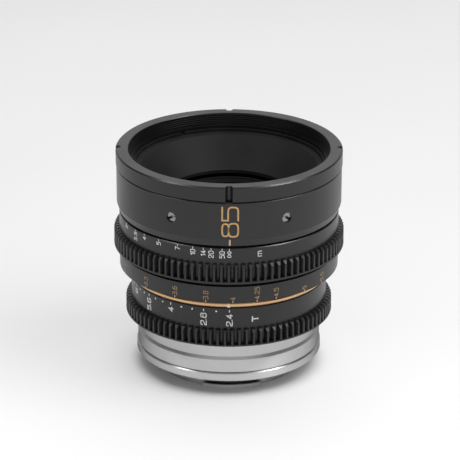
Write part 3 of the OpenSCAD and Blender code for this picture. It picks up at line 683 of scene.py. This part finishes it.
TAPER_HEIGHT = 2.55
FOCAL = {"cap": 5.45, "width": 0.58, "angle": 0.6, "gap": 0.205, "squeeze": 1.47}
FOCAL_RISE = 3.52
INDEX_LINE_ANGLE = 0.45
INDEX_LINE_LOW = 0.45
INDEX_LINE_HIGH = 2.4
INDEX_LINE_STROKE = 0.62


def barrel_side(z):
    """The barrel's side, with its tapered foot."""
    share = min(1.0, max(0.0, (z - barrel_low) / TAPER_HEIGHT))
    return scale_radius + (barrel_radius - scale_radius) * share


focal = Engraving(barrel_side)
focal.text(["8", "5"], bottom=barrel_low + FOCAL_RISE, **FOCAL)
focal.build("focal_number", "housing", orange_paint)
index_line = Engraving(barrel_side)
index_line.tick(
    INDEX_LINE_ANGLE, barrel_low + INDEX_LINE_LOW, barrel_low + INDEX_LINE_HIGH, INDEX_LINE_STROKE
)
index_line.build("index_line", "housing", pale_paint)

BEAD_RADIUS = 1.25
MARK_STEP = 0.12
MARK_STEPS_DOWN = 10
MARK_STEPS_UP = 1
MARK_STROKE = 0.95
bead_middle = low_of("accent_ring") + BEAD_RADIUS


def bead_side(z):
    """The round side of the accent ring."""
    return accent_radius - BEAD_RADIUS + math.sqrt(max(0.0, BEAD_RADIUS**2 - (z - bead_middle) ** 2))


# The metres and stops are read at the front mark, the feet at the back one
mark = Engraving(bead_side)
mark_line = [Vector((MARK_STEP * k, 0)) for k in range(-MARK_STEPS_DOWN, MARK_STEPS_UP + 1)]
for angle in (0.0, BACK_MARK):
    mark.stroke(mark_line, MARK_STROKE, angle, bead_middle)
mark.build("index_mark", "housing", bright_paint)


# Filter thread: a fine helical ridge on the wall of the filter seat, in millimetres

THREAD_RADIUS = 35.6
THREAD_PITCH = 0.75
THREAD_DEPTH = 0.07
THREAD_ROOT = 0.05
THREAD_HALF = 0.30 * THREAD_PITCH
THREAD_END = 0.5
TURN_STEPS = 120
FADE_STEPS = 20


def thread(name, low, high, body, mat):
    """A ridge that runs from low to high and fades out at its ends."""
    verts = []
    faces = []
    total = int((high - low) / THREAD_PITCH * TURN_STEPS)
    for i in range(total + 1):
        a = 2 * math.pi * i / TURN_STEPS
        z = low + THREAD_PITCH * i / TURN_STEPS
        fade = min(1.0, i / FADE_STEPS, (total - i) / FADE_STEPS)
        root = THREAD_RADIUS + THREAD_ROOT
        crest = THREAD_RADIUS - THREAD_DEPTH * fade
        for r, rise in ((root, -THREAD_HALF), (crest, 0.0), (root, THREAD_HALF)):
            verts.append((r * math.cos(a) * MM, r * math.sin(a) * MM, (z + rise) * MM))
        if i:
            b = 3 * (i - 1)
            faces += [(b + (k + 1) % 3, b + 3 + (k + 1) % 3, b + 3 + k, b + k) for k in range(3)]
    faces += [(2, 1, 0), (3 * total, 3 * total + 1, 3 * total + 2)]
    return add_piece(name, body, verts, faces, mat)


filter_ridge = thread(
    "filter_thread",
    top_of("front_barrel") + THREAD_END,
    top_of("front_ring") - THREAD_END,
    "housing",
    finish["black_anodised"],
)


# Stage, in metres

FLOOR_REACH = 4
FLOOR_PALE = 0.94
FLOOR_SHADED = 0.785
FLOOR_DEPTH = (-0.09, 0.03)
FLOOR_DEPTH_SHARE = 0.95
FLOOR_NOISE_SCALE = 3.0
FLOOR_WINDOW = (0.4, 1.5)
FLOOR_ROUGH = 0.7
FLOOR_SPECULAR = 0.2


def floor_material():
    """A pale floor with painted shade that makes it a little darker behind the lens, where light falls off.
    """
    mat, tree, bsdf = new_material("studio_floor")
    place = put(tree, "ShaderNodeTexCoord").outputs["Object"]
    depth = put(tree, "ShaderNodeSeparateXYZ", {0: place}).outputs[1]
    # Painted shade: the floor's colour darkens towards the back in place of light falling off
    behind = remap(tree, depth, FLOOR_DEPTH, (0.0, FLOOR_DEPTH_SHARE))
    tone = remap(tree, add(tree, behind, noise(tree, place, FLOOR_NOISE_SCALE)), FLOOR_WINDOW)
    tree.links.new(blend_colours(tree, tone, grey(FLOOR_PALE), grey(FLOOR_SHADED)), bsdf.inputs["Base Color"])
    bsdf.inputs["Roughness"].default_value = FLOOR_ROUGH
    bsdf.inputs["Specular IOR Level"].default_value = FLOOR_SPECULAR
    return mat


floor_z = solid_bounds[0][2]
corners = [(-1, -1), (1, -1), (1, 1), (-1, 1)]
mesh = bpy.data.meshes.new("studio_floor")
mesh.from_pydata([(x * FLOOR_REACH, y * FLOOR_REACH, floor_z) for x, y in corners], [], [(0, 1, 2, 3)])
mesh.materials.append(floor_material())
floor = bpy.data.objects.new("studio_floor", mesh)
scene.collection.objects.link(floor)

AIM_HEIGHT = 0.035
BOX_HEIGHT = 0.95
BOX_DISTANCE = 0.7
SMALL_BOX = 0.16


def softbox(name, azimuth, height, distance, size, power):
    """A square light that looks at the lens; azimuth 0 is the camera's side and 90 its right."""
    light = bpy.data.lights.new(name, "AREA")
    light.shape = "SQUARE"
    light.size = size
    light.energy = power
    obj = bpy.data.objects.new(name, light)
    a = math.radians(azimuth)
    spot = Vector((distance * math.sin(a), -distance * math.cos(a), height))
    obj.location = spot
    obj.rotation_euler = (Vector((0, 0, AIM_HEIGHT)) - spot).to_track_quat("-Z", "Y").to_euler()
    scene.collection.objects.link(obj)
    return obj


right = softbox("right", azimuth=74, height=BOX_HEIGHT, distance=BOX_DISTANCE, size=SMALL_BOX, power=6.4)
left = softbox("left", azimuth=-77, height=BOX_HEIGHT, distance=BOX_DISTANCE, size=SMALL_BOX, power=3.0)
fill = softbox("floor_fill", azimuth=50, height=1.3, distance=0.15, size=1.2, power=13.8)
side = softbox("floor_side", azimuth=74, height=BOX_HEIGHT, distance=BOX_DISTANCE, size=0.7, power=3.3)

# The small boxes light the lens alone and the large ones the floor alone, so that its shadows are soft.
# Only pieces of the mount and the rear cell shade the floor from the fill.
all_but_floor = bpy.data.collections.new("all_but_floor")
all_but_floor.objects.link(floor)
all_but_floor.collection_objects[0].light_linking.link_state = "EXCLUDE"
floor_alone = bpy.data.collections.new("floor_alone")
floor_alone.objects.link(floor)
for box, lit in ((right, all_but_floor), (left, all_but_floor), (fill, floor_alone), (side, floor_alone)):
    box.light_linking.receiver_collection = lit
fill_blockers = bpy.data.collections.new("fill_blockers")
for node_name in ("bayonet_flange", "mount_screws", "rear_baffle", "rear_cell", "rear_element"):
    fill_blockers.objects.link(frame["nodes"][node_name])
fill.light_linking.blocker_collection = fill_blockers

ROOM_LIGHT = 0.44
BACKDROP_LIGHT = 1.0
BACKDROP_START = (0.1, 0.8)
BACKDROP_TOP = (0.35, 0.8)
BACKDROP_FADE = (1.0, 0.2)
FLAG_START = (0.38, 0.78)
FLAG_FADE = (1.0, 0.1)


def studio_world():
    """Room light: dim all round, with a bright low backdrop behind the lens and dark flags at its sides."""
    world = bpy.data.worlds.new("studio")
    scene.world = world
    world.use_nodes = True
    tree = world.node_tree
    toward = put(tree, "ShaderNodeTexCoord").outputs["Generated"]
    split = put(tree, "ShaderNodeSeparateXYZ", {0: toward}).outputs
    behind = remap(tree, split[1], BACKDROP_START)
    low = remap(tree, split[2], BACKDROP_TOP, BACKDROP_FADE)
    strength = remap(tree, times(tree, behind, low), (0.0, 1.0), (ROOM_LIGHT, BACKDROP_LIGHT))
    flags = remap(tree, math_node(tree, "ABSOLUTE", split[0]), FLAG_START, FLAG_FADE)
    background = tree.nodes["Background"]
    background.inputs["Color"].default_value = (1.0, 1.0, 1.0, 1.0)
    tree.links.new(times(tree, strength, flags), background.inputs["Strength"])


studio_world()


# Camera fitted to the photograph: lengths in metres, the sensor in millimetres, the picture in pixels

DISTANCE = 1.0
ELEVATION = math.radians(22.5)
ROLL = math.radians(0.18)
CAMERA_AIM = 0.0356
SENSOR = 36.0
PICTURE = 460.0
FOCAL_PIXELS = 2799.0
CENTRE_X = 228.87
CENTRE_Y = 251.9
CLIP_START = 0.05
CLIP_END = 50.0

camera = bpy.data.cameras.new("camera")
camera.sensor_width = SENSOR
camera.sensor_fit = "HORIZONTAL"
camera.lens = FOCAL_PIXELS * SENSOR / PICTURE
camera.shift_x = (PICTURE / 2 - CENTRE_X) / PICTURE
camera.shift_y = (CENTRE_Y - PICTURE / 2) / PICTURE
camera.clip_start = CLIP_START
camera.clip_end = CLIP_END
camera_obj = bpy.data.objects.new("camera", camera)
scene.collection.objects.link(camera_obj)
camera_obj.matrix_world = (
    Matrix.Translation((0, -DISTANCE * math.cos(ELEVATION), CAMERA_AIM + DISTANCE * math.sin(ELEVATION)))
    @ Matrix.Rotation(math.pi / 2 - ELEVATION, 4, "X")
    @ Matrix.Rotation(ROLL, 4, "Z")
)
scene.camera = camera_obj
